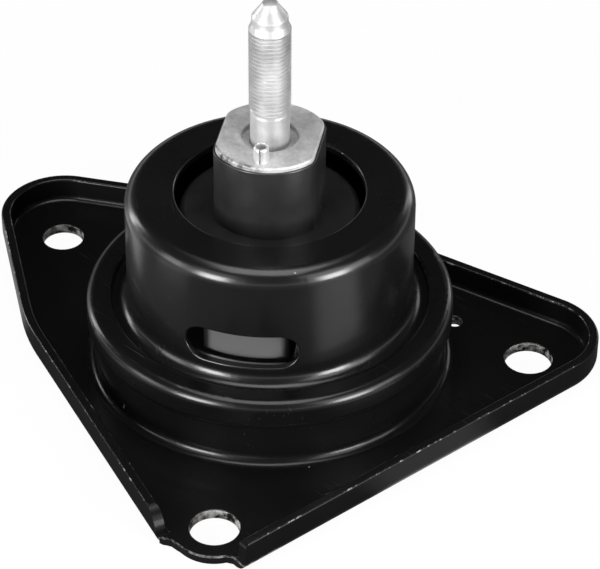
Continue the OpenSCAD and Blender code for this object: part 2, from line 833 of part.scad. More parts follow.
module bottom_cup() {
    t = inner_sheet_t;
    b = cup_bend_r;
    out_r = cup_in_r + t;
    step_r = cup_in_r - b - 2.5;
    well_r = step_r - b;
    color("#6f7379")
        rotate_extrude() {
            block([out_r + b, ledge_z], [flange_r, cup_flange_top]);
            bend([out_r + b, ledge_z - b], b, t, 1);
            block([cup_in_r, cup_step_z + b], [out_r, ledge_z - b]);
            bend([cup_in_r - b, cup_step_z + b], b, t, 3);
            block([step_r, cup_step_z - t], [cup_in_r - b, cup_step_z]);
            bend([step_r, cup_step_z - t - b], b, t, 1);
            block([well_r - t, cup_low + t + b], [well_r, cup_step_z - t - b]);
            bend([well_r - t - b, cup_low + t + b], b, t, 3);
            block([vent_r, cup_low], [well_r - t - b, cup_low + t]);
        }
}

base_bracket();
upper_cover();
inner_core();
mounting_stud();
locating_pin();
main_spring();
spring_ring();
upper_plate();
lower_plate();
decoupler_disc();
plate_rivets();
diaphragm();
diaphragm_ring();
bottom_cup();
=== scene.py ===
import math

import bmesh
import bpy
from mathutils import Matrix, Vector


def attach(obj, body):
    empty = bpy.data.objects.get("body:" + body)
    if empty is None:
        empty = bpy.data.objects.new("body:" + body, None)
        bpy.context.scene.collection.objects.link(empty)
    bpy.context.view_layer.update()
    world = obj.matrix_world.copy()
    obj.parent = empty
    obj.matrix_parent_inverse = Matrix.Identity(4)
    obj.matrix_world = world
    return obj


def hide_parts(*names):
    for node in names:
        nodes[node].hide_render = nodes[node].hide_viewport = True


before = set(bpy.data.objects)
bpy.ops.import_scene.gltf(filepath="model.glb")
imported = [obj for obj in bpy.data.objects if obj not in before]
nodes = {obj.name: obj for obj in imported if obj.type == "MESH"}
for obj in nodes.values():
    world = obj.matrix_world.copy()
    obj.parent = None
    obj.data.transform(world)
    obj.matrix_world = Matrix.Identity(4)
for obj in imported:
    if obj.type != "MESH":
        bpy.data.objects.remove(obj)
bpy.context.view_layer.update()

# Lengths are written in millimetres, as in the part's source, and are turned into metres by MM.
MM = 0.001

# The stud and its thread.
STUD_FOOT = 58.0
SHANK_R = 5.6
THREAD_R = 5.95
THREAD_ROOT_R = 5.3
THREAD_PITCH = 1.25
THREAD_LOW = 88.6
THREAD_HIGH = 115.6
PILOT_R = 5.1
STUD_TOP = 123.7

# The boss and the pin beside the stud.
BOSS_TOP = 80.0
BOSS_R = 16.7
BOSS_FLAT = 14.1
BOSS_CORNER = 5.2
BOSS_CUT = 70.0
COUNTERBORE_R = 8.1
COUNTERBORE_DEPTH = 1.8
SLEEVE_T = 0.6
SLEEVE_TOP = 78.6
SLEEVE_CUT = 57.0
LOBE_FACE = 35.6
PIN_Y = -12.5
PIN_R = 2.2
PIN_STAND = 4.6
PIN_LENGTH = 14.5

# The bracket: its punched holes as centre and radius, the heights of its rim's upper edges and of its
# sheet, the place along Y in front of which only the tab lies, and a radius just outside the collar.
PUNCHED_HOLES = (((0.0, -80.0), 7.0), ((76.0, 10.0), 7.0), ((-74.0, 42.0), 6.25), ((52.03, 23.27), 2.3))
RIM_TOP = 10.5
RIM_EDGE_LOW = 9.95
SHEET_TOP = 3.0
TAB_START = -84.0
COLLAR_REACH = 55.0

# The camera stands where the photograph was taken. Its shifts set the part a little left of the middle.
CAMERA_AZIMUTH = 11.0
CAMERA_ELEVATION = 37.63
CAMERA_PLACE = (0.1259, -0.6476, 0.5358)
CAMERA_LENS = 171.06
CAMERA_SHIFT = (0.05, -0.0015)

# The room: how much of the floor's white is its own to the camera and in gloss, the floor's tone for the
# light it throws back and for the camera, which sees the shadow in it, the room's light, and the
# backdrop's upper edge as the sine of the height at which it starts and ends to fade.
FLOOR_WHITE = 0.955
FLOOR_GLOSS = 0.05
FLOOR_TONE = 0.10
FLOOR_SEEN_TONE = 0.80
ROOM_LIGHT = 0.01
BACKDROP_LOW = 0.08
BACKDROP_HIGH = 0.26

# The soft boxes: place, azimuth, elevation, width, height and power. All stand at one distance and look at
# one height over the part's middle.
LAMP_DISTANCE = 0.9
LAMP_AIM = 0.04
SOFTBOXES = (
    ("right low", 57, 12, 0.3, 0.4, 8.0),
    ("right side", 78, 22, 0.3, 0.4, 1.2),
    ("right high", 55, 38, 0.4, 0.4, 1.4),
    ("left low", -30, 12, 0.3, 0.4, 8.5),
    ("left high", -32, 35, 0.4, 0.4, 0.7),
    ("left side", -62, 15, 0.3, 0.4, 1.6),
    ("left rear", -111, 12, 0.14, 0.5, 1.8),
    ("right rear", 150, 12, 0.14, 0.5, 0.6),
    ("top", 0, 86, 0.6, 0.6, 4.2),
    ("back top", -170, 70, 0.6, 0.3, 0.3),
)

# White cards lying round the part: the azimuth, half the angle they cover, and where they start in metres.
CARDS = ((55.0, 15.0, 0.03), (-104.0, 14.0, 0.03), (-58.0, 12.0, 0.108))


# Node helpers.

def put(tree, kind, x, y, values=None, **options):
    """Adds a node at a place in the tree, with its options and the values of its sockets."""
    made = tree.nodes.new(kind)
    made.location = (x, y)
    for name, value in options.items():
        setattr(made, name, value)
    for name, value in (values or {}).items():
        made.inputs[name].default_value = value
    return made


def join(tree, *pairs):
    """Links an output to an input for each pair."""
    for source, target in pairs:
        tree.links.new(source, target)


def new_group(name, inputs, outputs):
    """Starts a node group with named sockets and gives its tree, its entry and its exit."""
    tree = bpy.data.node_groups.new(name, "ShaderNodeTree")
    for label, kind, value in inputs:
        socket = tree.interface.new_socket(label, in_out="INPUT", socket_type=kind)
        if value is not None:
            socket.default_value = value
    for label, kind in outputs:
        tree.interface.new_socket(label, in_out="OUTPUT", socket_type=kind)
    entry = put(tree, "NodeGroupInput", -800, 0)
    end = put(tree, "NodeGroupOutput", 800, 0)
    return tree, entry, end


def place_group(tree, group, x, y, values=None):
    """Places a node group in a material with its own values."""
    made = put(tree, "ShaderNodeGroup", x, y, node_tree=group)
    for name, value in (values or {}).items():
        made.inputs[name].default_value = value
    return made


def math_node(tree, x, y, operation, first=None, second=None, clamp=False):
    """Adds a math node, where first and second are outputs or numbers."""
    made = put(tree, "ShaderNodeMath", x, y, operation=operation, use_clamp=clamp)
    for number, value in enumerate((first, second)):
        if value is None:
            continue
        if isinstance(value, (int, float)):
            made.inputs[number].default_value = value
        else:
            tree.links.new(value, made.inputs[number])
    return made.outputs[0]


def between(tree, x, y, source, low, high, out_low=0.0, out_high=1.0):
    """Maps a value from one span to another and holds it there."""
    made = put(tree, "ShaderNodeMapRange", x, y, clamp=True)
    for label, value in (("From Min", low), ("From Max", high), ("To Min", out_low), ("To Max", out_high)):
        if isinstance(value, (int, float)):
            made.inputs[label].default_value = value
        else:
            tree.links.new(value, made.inputs[label])
    tree.links.new(source, made.inputs["Value"])
    return made.outputs["Result"]


# Shared effects.

def speck_group():
    """Small specks of dust and chips: a mask from cells, of which only a share holds a speck."""
    tree, entry, end = new_group(
        "Specks",
        [("Vector", "NodeSocketVector", None), ("Scale", "NodeSocketFloat", 150.0),
         ("Share", "NodeSocketFloat", 0.1), ("Size", "NodeSocketFloat", 0.12)],
        [("Mask", "NodeSocketFloat")])
    wobble = put(tree, "ShaderNodeTexNoise", -600, -250, {"Scale": 900.0, "Detail": 1.0})
    push = put(tree, "ShaderNodeVectorMath", -420, -150, operation="MULTIPLY_ADD")
    push.inputs[1].default_value = (0.0014, 0.0014, 0.0014)
    cells = put(tree, "ShaderNodeTexVoronoi", -240, 0)
    split = put(tree, "ShaderNodeSeparateColor", -60, 120)
    chosen = math_node(tree, 120, 120, "LESS_THAN")
    inside = put(tree, "ShaderNodeMapRange", 120, -60, {"To Min": 1.0, "To Max": 0.0}, clamp=True)
    half = math_node(tree, -60, -220, "MULTIPLY", None, 0.6)
    both = math_node(tree, 320, 60, "MULTIPLY", chosen, inside.outputs["Result"])
    join(tree, (entry.outputs["Vector"], wobble.inputs["Vector"]),
         (wobble.outputs["Color"], push.inputs[0]), (entry.outputs["Vector"], push.inputs[2]),
         (push.outputs["Vector"], cells.inputs["Vector"]), (entry.outputs["Scale"], cells.inputs["Scale"]),
         (cells.outputs["Color"], split.inputs["Color"]), (split.outputs["Red"], chosen.node.inputs[0]),
         (entry.outputs["Share"], chosen.node.inputs[1]),
         (cells.outputs["Distance"], inside.inputs["Value"]),
         (entry.outputs["Size"], half.node.inputs[0]), (half, inside.inputs["From Min"]),
         (entry.outputs["Size"], inside.inputs["From Max"]), (both, end.inputs["Mask"]))
    return tree


def scratch_group():
    """Fine scratches: long thin streaks in one direction, broken up by a coarse noise."""
    tree, entry, end = new_group(
        "Scratches",
        [("Vector", "NodeSocketVector", None), ("Turn", "NodeSocketFloat", 0.6),
         ("Share", "NodeSocketFloat", 0.3)],
        [("Mask", "NodeSocketFloat")])
    turn = put(tree, "ShaderNodeVectorRotate", -600, 60, rotation_type="Z_AXIS")
    stretch = put(tree, "ShaderNodeVectorMath", -420, 60, operation="MULTIPLY")
    stretch.inputs[1].default_value = (60.0, 2600.0, 600.0)
    streaks = put(tree, "ShaderNodeTexNoise", -240, 60, {"Scale": 1.0, "Detail": 1.0})
    patches = put(tree, "ShaderNodeTexNoise", -240, -160, {"Scale": 45.0, "Detail": 2.0})
    thin = between(tree, 0, 60, streaks.outputs["Fac"], 0.70, 0.74)
    limit = math_node(tree, -60, -320, "SUBTRACT", 0.78, None)
    where = put(tree, "ShaderNodeMapRange", 140, -160, clamp=True)
    where.inputs["From Max"].default_value = 0.8
    both = math_node(tree, 360, 0, "MULTIPLY", thin, where.outputs["Result"])
    join(tree, (entry.outputs["Vector"], turn.inputs["Vector"]),
         (entry.outputs["Turn"], turn.inputs["Angle"]),
         (turn.outputs["Vector"], stretch.inputs[0]), (stretch.outputs["Vector"], streaks.inputs["Vector"]),
         (entry.outputs["Vector"], patches.inputs["Vector"]), (entry.outputs["Share"], limit.node.inputs[1]),
         (patches.outputs["Fac"], where.inputs["Value"]), (limit, where.inputs["From Min"]),
         (both, end.inputs["Mask"]))
    return tree


def mottle_group():
    """A slow and a fine cloud in one value between Low and High, for roughness and tone."""
    tree, entry, end = new_group(
        "Mottle",
        [("Vector", "NodeSocketVector", None), ("Scale", "NodeSocketFloat", 60.0),
         ("Low", "NodeSocketFloat", 0.2), ("High", "NodeSocketFloat", 0.4)],
        [("Value", "NodeSocketFloat")])
    slow = put(tree, "ShaderNodeTexNoise", -420, 60, {"Detail": 3.0, "Roughness": 0.6})
    spread = put(tree, "ShaderNodeMapRange", 0, 0, {"From Min": 0.3, "From Max": 0.7}, clamp=True)
    join(tree, (entry.outputs["Vector"], slow.inputs["Vector"]),
         (entry.outputs["Scale"], slow.inputs["Scale"]),
         (slow.outputs["Fac"], spread.inputs["Value"]), (entry.outputs["Low"], spread.inputs["To Min"]),
         (entry.outputs["High"], spread.inputs["To Max"]), (spread.outputs["Result"], end.inputs["Value"]))
    return tree


def grain_group():
    """Height of a painted or cast skin: a soft wave with a finer grain on it."""
    tree, entry, end = new_group(
        "Grain",
        [("Vector", "NodeSocketVector", None), ("Wave", "NodeSocketFloat", 250.0),
         ("Grain", "NodeSocketFloat", 1600.0), ("Share", "NodeSocketFloat", 0.3)],
        [("Height", "NodeSocketFloat")])
    wave = put(tree, "ShaderNodeTexNoise", -420, 120, {"Detail": 1.0})
    fine = put(tree, "ShaderNodeTexNoise", -420, -120, {"Detail": 2.0})
    part = math_node(tree, -200, -120, "MULTIPLY", fine.outputs["Fac"], None)
    total = math_node(tree, 0, 0, "ADD", wave.outputs["Fac"], part)
    join(tree, (entry.outputs["Vector"], wave.inputs["Vector"]),
         (entry.outputs["Wave"], wave.inputs["Scale"]),
         (entry.outputs["Vector"], fine.inputs["Vector"]), (entry.outputs["Grain"], fine.inputs["Scale"]),
         (entry.outputs["Share"], part.node.inputs[1]), (total, end.inputs["Height"]))
    return tree


def hole_wall_group():
    """A mask of a punched hole's wall: all that lies nearer to the hole's axis than its radius."""
    tree, entry, end = new_group(
        "Hole wall",
        [("Vector", "NodeSocketVector", None), ("Centre", "NodeSocketVector", None),
         ("Radius", "NodeSocketFloat", 0.007)],
        [("Mask", "NodeSocketFloat")])
    away = put(tree, "ShaderNodeVectorMath", -500, 0, operation="SUBTRACT")
    flat = put(tree, "ShaderNodeVectorMath", -300, 0, operation="MULTIPLY")
    flat.inputs[1].default_value = (1.0, 1.0, 0.0)
    reach = put(tree, "ShaderNodeVectorMath", -100, 0, operation="LENGTH")
    inside = math_node(tree, 200, 0, "LESS_THAN")
    join(tree, (entry.outputs["Vector"], away.inputs[0]), (entry.outputs["Centre"], away.inputs[1]),
         (away.outputs["Vector"], flat.inputs[0]), (flat.outputs["Vector"], reach.inputs[0]),
         (reach.outputs["Value"], inside.node.inputs[0]), (entry.outputs["Radius"], inside.node.inputs[1]),
         (inside, end.inputs["Mask"]))
    return tree


def band_group():
    """A mask of a band along one coordinate, with soft ends, broken up by a noise."""
    tree, entry, end = new_group(
        "Wear and glint band",
        [("Vector", "NodeSocketVector", None), ("Along", "NodeSocketFloat", 0.0),
         ("Low", "NodeSocketFloat", 0.0), ("High", "NodeSocketFloat", 1.0),
         ("Share", "NodeSocketFloat", 0.4)],
        [("Mask", "NodeSocketFloat")])
    above = math_node(tree, -300, 150, "GREATER_THAN")
    below = math_node(tree, -300, 0, "LESS_THAN")
    broken = put(tree, "ShaderNodeTexNoise", -500, -200, {"Scale": 420.0, "Detail": 3.0, "Roughness": 0.7})
    edge = math_node(tree, -300, -320, "SUBTRACT", 1.0, None)
    patchy_marks = put(tree, "ShaderNodeMapRange", -100, -200, {"From Max": 0.75}, clamp=True)
    band = math_node(tree, -100, 80, "MULTIPLY", above, below)
    both = math_node(tree, 200, 0, "MULTIPLY", band, patchy_marks.outputs["Result"])
    join(tree, (entry.outputs["Along"], above.node.inputs[0]), (entry.outputs["Low"], above.node.inputs[1]),
         (entry.outputs["Along"], below.node.inputs[0]), (entry.outputs["High"], below.node.inputs[1]),
         (entry.outputs["Vector"], broken.inputs["Vector"]), (entry.outputs["Share"], edge.node.inputs[1]),
         (edge, patchy_marks.inputs["From Min"]), (broken.outputs["Fac"], patchy_marks.inputs["Value"]),
         (both, end.inputs["Mask"]))
    return tree


def card_group():
    """A mask of a white card on the floor, as a sector round the part that starts at a distance from it."""
    tree, entry, end = new_group(
        "Card",
        [("Vector", "NodeSocketVector", None), ("Toward", "NodeSocketVector", None),
         ("Edge", "NodeSocketFloat", 0.9), ("Full", "NodeSocketFloat", 0.95),
         ("Near", "NodeSocketFloat", 0.1)],
        [("Mask", "NodeSocketFloat")])
    heading = put(tree, "ShaderNodeVectorMath", -500, 100, operation="NORMALIZE")
    reach = put(tree, "ShaderNodeVectorMath", -500, -100, operation="LENGTH")
    along = put(tree, "ShaderNodeVectorMath", -300, 100, operation="DOT_PRODUCT")
    beyond = math_node(tree, -100, -100, "GREATER_THAN")
    join(tree, (entry.outputs["Vector"], heading.inputs[0]), (entry.outputs["Vector"], reach.inputs[0]),
         (heading.outputs["Vector"], along.inputs[0]), (entry.outputs["Toward"], along.inputs[1]),
         (reach.outputs["Value"], beyond.node.inputs[0]), (entry.outputs["Near"], beyond.node.inputs[1]))
    wide = between(tree, -100, 100, along.outputs["Value"], entry.outputs["Edge"], entry.outputs["Full"])
    both = math_node(tree, 200, 0, "MULTIPLY", wide, beyond)
    tree.links.new(both, end.inputs["Mask"])
    return tree


SPECKS = speck_group()
SCRATCHES = scratch_group()
MOTTLE = mottle_group()
GRAIN = grain_group()
HOLE_WALL = hole_wall_group()
WEAR_AND_GLINT_BAND = band_group()
CARD = card_group()


# Materials.

def new_material(name):
    """An empty material with its shader and its coordinates."""
    material = bpy.data.materials.new(name)
    material.use_nodes = True
    tree = material.node_tree
    tree.nodes.clear()
    place = put(tree, "ShaderNodeTexCoord", -1400, 0).outputs["Object"]
    shader = put(tree, "ShaderNodeBsdfPrincipled", 500, 0)
    end = put(tree, "ShaderNodeOutputMaterial", 800, 0)
    tree.links.new(shader.outputs["BSDF"], end.inputs["Surface"])
    return material, tree, place, shader


def grey(value):
    """A neutral colour."""
    return (value, value, value, 1.0)


def mix_colour(tree, x, y, mask, first, second):
    """Blends two colours, which are outputs or colours, by a mask."""
    made = put(tree, "ShaderNodeMix", x, y, data_type="RGBA")
    tree.links.new(mask, made.inputs["Factor"])
    for label, value in (("A", first), ("B", second)):
        socket = [s for s in made.inputs if s.name == label and s.type == "RGBA"][0]
        if isinstance(value, tuple):
            socket.default_value = value
        else:
            tree.links.new(value, socket)
    return [s for s in made.outputs if s.type == "RGBA"][0]


def bump(tree, x, y, height, distance, strength=1.0):
    """Turns a height into a normal."""
    made = put(tree, "ShaderNodeBump", x, y, {"Strength": strength, "Distance": distance})
    tree.links.new(height, made.inputs["Height"])
    return made.outputs["Normal"]


def largest(tree, x, y, masks):
    """The largest of several masks."""
    held = masks[0]
    for number, mask in enumerate(masks[1:]):
        held = math_node(tree, x + 160 * number, y, "MAXIMUM", held, mask)
    return held


def outside_collar(tree, place, x, y):
    """A mask of all that lies outside the collar's wall."""
    inside = place_group(tree, HOLE_WALL, x, y,
                         {"Centre": (0.0, 0.0, 0.0), "Radius": COLLAR_REACH * MM})
    tree.links.new(place, inside.inputs["Vector"])
    return math_node(tree, x + 260, y, "SUBTRACT", 1.0, inside.outputs["Mask"])


def rim_sides(tree, place):
    """A mask of the rim's walls, where the coat is thin and dull."""
    split = put(tree, "ShaderNodeSeparateXYZ", -1200, 1100)
    tree.links.new(place, split.inputs["Vector"])
    low = between(tree, -1000, 1100, split.outputs["Z"], (SHEET_TOP + 0.1) * MM, (SHEET_TOP + 0.5) * MM)
    high = between(tree, -1000, 1350, split.outputs["Z"], RIM_EDGE_LOW * MM, (RIM_TOP - 0.05) * MM, 1.0, 0.0)
    walls = math_node(tree, -760, 1200, "MULTIPLY", low, high)
    return math_node(tree, -560, 1200, "MULTIPLY", walls, outside_collar(tree, place, -1000, 1600))


def wear_and_glint_edge(tree, place, split, y, low, high, share):
    """A mask of a thin broken light line between two heights along an edge: partly coat rubbed through,
    partly a painted glint.
    """
    band = place_group(tree, WEAR_AND_GLINT_BAND, -1000, y, {"Low": low * MM, "High": high * MM, "Share": share})
    join(tree, (place, band.inputs["Vector"]), (split.outputs["Z"], band.inputs["Along"]))
    return band.outputs["Mask"]


def bare_and_highlight_places(tree, place):
    """Light marks on the bracket: the punched holes' walls and the rim's upper edges, part thin coat and
    part painted highlight, and the tab's upper edge, a painted glint.
    """
    walls = []
    for number, (centre, radius) in enumerate(PUNCHED_HOLES):
        wall = place_group(tree, HOLE_WALL, -1000, -800 - 160 * number,
                           {"Centre": (centre[0] * MM, centre[1] * MM, 0.0), "Radius": (radius + 0.12) * MM})
        tree.links.new(place, wall.inputs["Vector"])
        walls.append(wall.outputs["Mask"])
    torn = place_group(tree, MOTTLE, -1000, -1500, {"Scale": 330.0, "Low": -0.55, "High": 1.25})
    split = put(tree, "ShaderNodeSeparateXYZ", -1200, -1700)
    join(tree, (place, torn.inputs["Vector"]), (place, split.inputs["Vector"]))
    wall = math_node(tree, -500, -900, "MULTIPLY", largest(tree, -760, -900, walls), torn.outputs["Value"])
    # The rim's upper edge: a broken light line, part wear and part painted highlight.
    rim = wear_and_glint_edge(tree, place, split, -1700, RIM_TOP - 0.36, RIM_TOP - 0.1, 0.44)
    kept = math_node(tree, -600, -1700, "MULTIPLY", rim, outside_collar(tree, place, -1000, -1900))
    # The tab's upper edge carries a painted glint, a broken light line.
    tab = wear_and_glint_edge(tree, place, split, -2100, SHEET_TOP - 0.9, SHEET_TOP - 0.02, 0.58)
    front = math_node(tree, -760, -2100, "LESS_THAN", split.outputs["Y"], TAB_START * MM)
    glint = math_node(tree, -600, -2100, "MULTIPLY", tab, front)
    edge = math_node(tree, -500, -1500, "MULTIPLY", largest(tree, -700, -1600, [kept, glint]), 0.8)
    return math_node(tree, -300, -900, "MAXIMUM", wall, edge, clamp=True)


def black_coat(name, tone, rough_low, rough_high, gloss, share, turn, places=None, dull=None,
               coat_ior=1.5, sheen=0.07):
    """Black dip coat on steel: a soft body under a thin gloss, with dust specks and fine scratches."""
    material, tree, place, shader = new_material(name)
    rough = place_group(tree, MOTTLE, -1000, 250, {"Scale": 55.0, "Low": rough_low, "High": rough_high})
    dust = place_group(tree, SPECKS, -1000, 0, {"Scale": 140.0, "Share": share, "Size": 0.07})
    lines = place_group(tree, SCRATCHES, -1000, -250, {"Turn": turn, "Share": 0.24})
    skin = place_group(tree, GRAIN, -1000, -500, {"Wave": 240.0, "Grain": 1500.0, "Share": 0.25})
    thick = place_group(tree, MOTTLE, -1000, 700, {"Scale": 38.0, "Low": gloss * 0.8, "High": gloss})
    tone_cloud = place_group(tree, MOTTLE, -1000, 480, {"Scale": 22.0, "Low": 0.0, "High": 1.0})
    for used in (rough, dust, lines, skin, thick, tone_cloud):
        tree.links.new(place, used.inputs["Vector"])
    patchy_marks = math_node(tree, -700, 0, "MULTIPLY", dust.outputs["Mask"], 0.6)
    fine = math_node(tree, -700, -250, "MULTIPLY", lines.outputs["Mask"], 0.12)
    marks = math_node(tree, -500, -100, "ADD", patchy_marks, fine, clamp=True)
    # The places' light marks are part wear and part painted highlight.
    if places:
        marks = math_node(tree, -340, -200, "MAXIMUM", marks, places(tree, place))
    base = mix_colour(tree, -500, 350, tone_cloud.outputs["Value"], grey(tone * 0.75), grey(tone * 1.25))
    colour = mix_colour(tree, -200, 200, marks, base, (0.42, 0.41, 0.40, 1.0))
    whole = math_node(tree, -200, 500, "SUBTRACT", 1.0, marks)
    cover = math_node(tree, 0, 500, "MULTIPLY", thick.outputs["Value"], whole)
    if dull:
        lost = math_node(tree, 0, 700, "MULTIPLY", dull(tree, place), 0.75)
        left = math_node(tree, 160, 700, "SUBTRACT", 1.0, lost)
        cover = math_node(tree, 320, 600, "MULTIPLY", cover, left)
    join(tree, (colour, shader.inputs["Base Color"]), (rough.outputs["Value"], shader.inputs["Roughness"]),
         (cover, shader.inputs["Coat Weight"]),
         (bump(tree, 100, -350, skin.outputs["Height"], 0.00002), shader.inputs["Normal"]))
    shader.inputs["Specular IOR Level"].default_value = sheen
    shader.inputs["Coat Roughness"].default_value = 0.22
    shader.inputs["Coat IOR"].default_value = coat_ior
    return material


def lobe_painted_light(tree, place):
    """A mask of the bumper lobes' outer faces, which are painted paler as painted light, for the light that
    falls on them through the window.
    """
    split = put(tree, "ShaderNodeSeparateXYZ", -1200, -700)
    tree.links.new(place, split.inputs["Vector"])
    depth = math_node(tree, -1000, -700, "ABSOLUTE", split.outputs["Y"])
    return between(tree, -800, -700, depth, (LOBE_FACE - 0.6) * MM, LOBE_FACE * MM)


def black_rubber(name, tone, rough_low, rough_high, pale=None):
    """Moulded rubber: grey black with a pale bloom, a fine skin and a few specks, and where a mask is given,
    faces painted paler as painted light.
    """
    material, tree, place, shader = new_material(name)
    bloom = place_group(tree, MOTTLE, -1000, 350, {"Scale": 90.0, "Low": 0.0, "High": 1.0})
    rough = place_group(tree, MOTTLE, -1000, 100, {"Scale": 130.0, "Low": rough_low, "High": rough_high})
    dust = place_group(tree, SPECKS, -1000, -150, {"Scale": 170.0, "Share": 0.05, "Size": 0.08})
    skin = place_group(tree, GRAIN, -1000, -400, {"Wave": 350.0, "Grain": 2600.0, "Share": 0.6})
    for used in (bloom, rough, dust, skin):
        tree.links.new(place, used.inputs["Vector"])
    base = mix_colour(tree, -500, 300, bloom.outputs["Value"], grey(tone * 0.75), grey(tone * 1.35))
    # Painted light: the masked faces are painted a paler grey, for the light that falls on them.
    if pale:
        base = mix_colour(tree, -350, 420, pale(tree, place), base, grey(0.085))
    specks = math_node(tree, -700, -150, "MULTIPLY", dust.outputs["Mask"], 0.3)
    colour = mix_colour(tree, -200, 200, specks, base, grey(0.4))
    join(tree, (colour, shader.inputs["Base Color"]), (rough.outputs["Value"], shader.inputs["Roughness"]),
         (bump(tree, 100, -350, skin.outputs["Height"], 0.00004), shader.inputs["Normal"]))
    shader.inputs["Specular IOR Level"].default_value = 0.30
    shader.inputs["Coat Weight"].default_value = 0.80
    shader.inputs["Coat Roughness"].default_value = 0.22
    return material


def overspray(tree, place):
    """A mask of the black coat's overspray: a torn line along the boss's front left edge."""
    inner = place_group(tree, HOLE_WALL, -1000, -700,
                        {"Centre": (0.0, 0.0, 0.0), "Radius": (BOSS_R - 0.9) * MM})
    torn = place_group(tree, MOTTLE, -1000, -900, {"Scale": 300.0, "Low": -0.3, "High": 1.3})
    aside = put(tree, "ShaderNodeVectorMath", -1000, -1100, operation="DOT_PRODUCT")
    aside.inputs[1].default_value = (-0.6, -0.8, 0.0)
    join(tree, (place, inner.inputs["Vector"]), (place, torn.inputs["Vector"]), (place, aside.inputs[0]))
    outer = math_node(tree, -740, -700, "SUBTRACT", 1.0, inner.outputs["Mask"])
    front = between(tree, -740, -1100, aside.outputs["Value"], (BOSS_R - 5.0) * MM, (BOSS_R - 2.5) * MM)
    both = math_node(tree, -560, -800, "MULTIPLY", outer, front)
    return math_node(tree, -400, -800, "MULTIPLY", both, torn.outputs["Value"], clamp=True)


def bare_metal(name, tone, rough_low, rough_high, wave, grain, depth, turn=0.3, bare=1.0, stain=None):
    """Bare or plated metal: clouded tone and roughness, a skin, and fine scratches."""
    material, tree, place, shader = new_material(name)
    cloud = place_group(tree, MOTTLE, -1000, 350, {"Scale": 120.0, "Low": 0.0, "High": 1.0})
    rough = place_group(tree, MOTTLE, -1000, 100, {"Scale": 260.0, "Low": rough_low, "High": rough_high})
    lines = place_group(tree, SCRATCHES, -1000, -150, {"Turn": turn, "Share": 0.4})
    skin = place_group(tree, GRAIN, -1000, -400, {"Wave": wave, "Grain": grain, "Share": 0.6})
    for used in (cloud, rough, lines, skin):
        tree.links.new(place, used.inputs["Vector"])
    low = tuple(c * 0.72 for c in tone) + (1.0,)
    high = tuple(min(1.0, c * 1.12) for c in tone) + (1.0,)
    base = mix_colour(tree, -500, 300, cloud.outputs["Value"], low, high)
    marks = math_node(tree, -700, -150, "MULTIPLY", lines.outputs["Mask"], 0.35)
    colour = mix_colour(tree, -200, 200, marks, base, (0.35, 0.35, 0.36, 1.0))
    if stain:
        spots = place_group(tree, MOTTLE, -1000, 600, {"Scale": 700.0, "Low": 0.0, "High": 0.34})
        tree.links.new(place, spots.inputs["Vector"])
        colour = mix_colour(tree, 0, 300, spots.outputs["Value"], colour, grey(0.16))
        colour = mix_colour(tree, 160, 300, stain(tree, place), colour, grey(0.03))
    join(tree, (colour, shader.inputs["Base Color"]), (rough.outputs["Value"], shader.inputs["Roughness"]),
         (bump(tree, 100, -350, skin.outputs["Height"], depth), shader.inputs["Normal"]))
    shader.inputs["Metallic"].default_value = bare
    return material


BRACKET_COAT = black_coat("bracket coat", 0.002, 0.44, 0.54, 0.62, 0.09, 0.6, bare_and_highlight_places, rim_sides, 1.6)
CAN_COAT = black_coat("can coat", 0.002, 0.44, 0.54, 0.90, 0.08, 1.2, coat_ior=1.55, sheen=0.10)
SPRING_RUBBER = black_rubber("spring rubber", 0.010, 0.42, 0.54, lobe_painted_light)
DISC_RUBBER = black_rubber("disc rubber", 0.016, 0.55, 0.72)
CORE_METAL = bare_metal("cast core", (0.62, 0.62, 0.62), 0.40, 0.58, 500.0, 2200.0, 0.00008, bare=0.35,
                        stain=overspray)
STUD_METAL = bare_metal("zinc stud", (0.60, 0.60, 0.60), 0.34, 0.50, 700.0, 2600.0, 0.00003, bare=0.6)
PIN_METAL = bare_metal("spring pin", (0.74, 0.74, 0.74), 0.30, 0.42, 700.0, 2600.0, 0.00002, bare=0.6)
RING_METAL = bare_metal("plated ring", (0.60, 0.60, 0.61), 0.30, 0.42, 300.0, 1600.0, 0.00003)
PLATE_METAL = bare_metal("pressed plate", (0.66, 0.67, 0.68), 0.34, 0.50, 400.0, 2000.0, 0.00004)
RIVET_METAL = bare_metal("rivet steel", (0.72, 0.72, 0.73), 0.28, 0.40, 600.0, 2400.0, 0.00002)


def coat_nodes():
    """Gives every solid that stays its material."""
    finishes = {
        "base_bracket": BRACKET_COAT, "upper_cover": CAN_COAT, "bottom_cup": CAN_COAT,
        "inner_core": CORE_METAL, "mounting_stud": STUD_METAL, "locating_pin": PIN_METAL,
        "main_spring": SPRING_RUBBER, "spring_ring": RING_METAL, "diaphragm_ring": RING_METAL,
        "upper_plate": PLATE_METAL, "lower_plate": PLATE_METAL, "plate_rivets": RIVET_METAL,
        "decoupler_disc": DISC_RUBBER, "diaphragm": DISC_RUBBER,
    }
    for name, material in finishes.items():
        mesh = nodes[name].data
        mesh.materials.clear()
        mesh.materials.append(material)


# Pieces.

def start_outline(bm, points):
    """A line of vertices in the XZ plane, radius first and height second, ready to be spun."""
    verts = [bm.verts.new((r * MM, 0.0, z * MM)) for r, z in points]
    edges = [bm.edges.new(pair) for pair in zip(verts[:-1], verts[1:])]
    return verts, edges


def turn(bm, points, steps=144):
    """Turns an outline once round the stud's axis."""
    verts, edges = start_outline(bm, points)
    bmesh.ops.spin(bm, geom=verts + edges, cent=(0, 0, 0), axis=(0, 0, 1), angle=math.tau, steps=steps,
                   use_merge=True, dvec=(0, 0, 0))
    bmesh.ops.remove_doubles(bm, verts=bm.verts[:], dist=0.001 * MM)


